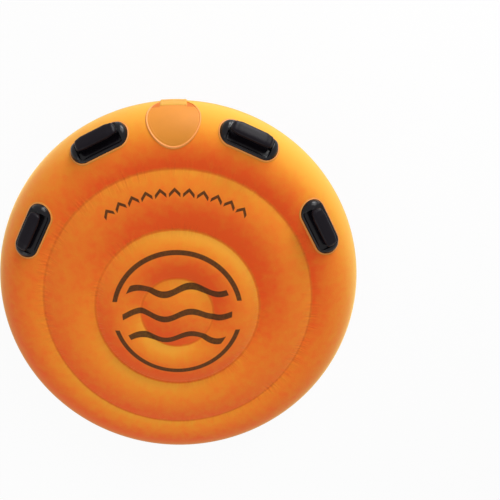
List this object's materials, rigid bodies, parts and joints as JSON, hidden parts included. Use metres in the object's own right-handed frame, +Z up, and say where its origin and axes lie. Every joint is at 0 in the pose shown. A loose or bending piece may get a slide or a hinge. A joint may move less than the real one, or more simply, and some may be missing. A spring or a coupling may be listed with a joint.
{
  "type": "towable deck tube",
  "caption": "Round inflatable towable deck tube with a flocked quilted top, printed underside, grab handles on the ring, a tow ring at the front and a screw-cap valve.",
  "frame": {"origin": "centre of the underside, on the plane that the tube rests on", "axes": "+Z up out of the deck, +Y forwards to the tow ring, +X to the rider's right when facing forwards"},
  "size_m": [1.22, 1.2229, 0.2761],
  "materials": {
    "flocked_deck": "short flocked pile on PVC sheet",
    "printed_underside": "glossy printed PVC sheet",
    "baffle_pvc": "plain PVC sheet",
    "smooth_orange_pvc": "smooth welded PVC patch",
    "moulded_black": "glossy moulded soft PVC",
    "grip_black": "soft moulded grip",
    "clear_pvc": "clear moulded PVC",
    "webbing": "woven webbing",
    "stainless": "polished stainless wire",
    "valve_white": "moulded white plastic",
    "valve_rubber": "soft grey rubber"
  },
  "bodies": {
    "tube": {"top_sheet": "flocked_deck", "bottom_sheet": "printed_underside", "rim_weld_tape": "baffle_pvc", "outer_baffle": "baffle_pvc", "middle_baffle": "baffle_pvc", "centre_baffle": "baffle_pvc", "handle_front_left_patch": "smooth_orange_pvc", "handle_front_left_pad": "moulded_black", "handle_front_left_mound_a": "moulded_black", "handle_front_left_mound_b": "moulded_black", "handle_front_right_patch": "smooth_orange_pvc", "handle_front_right_pad": "moulded_black", "handle_front_right_mound_a": "moulded_black", "handle_front_right_mound_b": "moulded_black", "handle_rear_left_patch": "smooth_orange_pvc", "handle_rear_left_pad": "moulded_black", "handle_rear_left_mound_a": "moulded_black", "handle_rear_left_mound_b": "moulded_black", "handle_rear_right_patch": "smooth_orange_pvc", "handle_rear_right_pad": "moulded_black", "handle_rear_right_mound_a": "moulded_black", "handle_rear_right_mound_b": "moulded_black", "top_tow_patch": "smooth_orange_pvc", "underside_tow_patch": "smooth_orange_pvc", "tow_band": "smooth_orange_pvc", "tow_anchor_bar": "clear_pvc", "tow_strap": "webbing", "valve_flange": "valve_white", "valve_insert": "valve_white", "valve_seal": "valve_rubber", "cap_tether": "valve_white"},
    "grip_front_left": {"handle_front_left_core": "moulded_black", "handle_front_left_grip": "grip_black"},
    "grip_front_right": {"handle_front_right_core": "moulded_black", "handle_front_right_grip": "grip_black"},
    "grip_rear_left": {"handle_rear_left_core": "moulded_black", "handle_rear_left_grip": "grip_black"},
    "grip_rear_right": {"handle_rear_right_core": "moulded_black", "handle_rear_right_grip": "grip_black"},
    "hanging_ring": {"tow_ring": "stainless"},
    "check_flap": {"valve_flap": "valve_rubber"},
    "gasket": {"cap_gasket": "valve_rubber"},
    "cap": {"valve_cap": "valve_white"}
  },
  "joints": [
    {"name": "front_left_grip_tilt", "type": "hinge", "parent": "tube", "child": "grip_front_left", "pos_m": [-0.20363, 0.50399, 0.24068], "axis": [-0.9272, -0.3746, 0], "range_deg": [-45, 45], "stiffness_Nm_per_rad": 0.5},
    {"name": "front_right_grip_tilt", "type": "hinge", "parent": "tube", "child": "grip_front_right", "pos_m": [0.20363, 0.50399, 0.24068], "axis": [-0.9272, 0.3746, 0], "range_deg": [-45, 45], "stiffness_Nm_per_rad": 0.5},
    {"name": "rear_left_grip_tilt", "type": "hinge", "parent": "tube", "child": "grip_rear_left", "pos_m": [-0.4208, 0.27327, 0.25228], "axis": [-0.5446, -0.8387, 0], "range_deg": [-45, 45], "stiffness_Nm_per_rad": 0.5},
    {"name": "rear_right_grip_tilt", "type": "hinge", "parent": "tube", "child": "grip_rear_right", "pos_m": [0.4208, 0.27327, 0.25228], "axis": [-0.5446, 0.8387, 0], "range_deg": [-45, 45], "stiffness_Nm_per_rad": 0.5},
    {"name": "tow_ring_swing", "type": "hinge", "parent": "tube", "child": "hanging_ring", "pos_m": [0, 0.60813, 0.06801], "axis": [1, 0, 0], "range_deg": [-30, 100]},
    {"name": "valve_flap_swing", "type": "hinge", "parent": "tube", "child": "check_flap", "pos_m": [0.12369, -0.54887, 0.04044], "axis": [-0.9755, -0.2198, 0], "range_deg": [0, 55], "stiffness_Nm_per_rad": 0.002},
    {"name": "cap_lift", "type": "slide", "parent": "tube", "child": "gasket", "axis": [0.1634, -0.725, -0.6691], "range_m": [0, 0.0038]},
    {"name": "cap_turn", "type": "hinge", "parent": "gasket", "child": "cap", "pos_m": [0.12722, -0.56451, 0.03987], "axis": [0.1634, -0.725, -0.6691], "range_deg": [0, 540]}
  ],
  "couplings": [
    {"joint": "cap_lift", "follows": "cap_turn", "m_per_rad": 0.00039789}
  ]
}
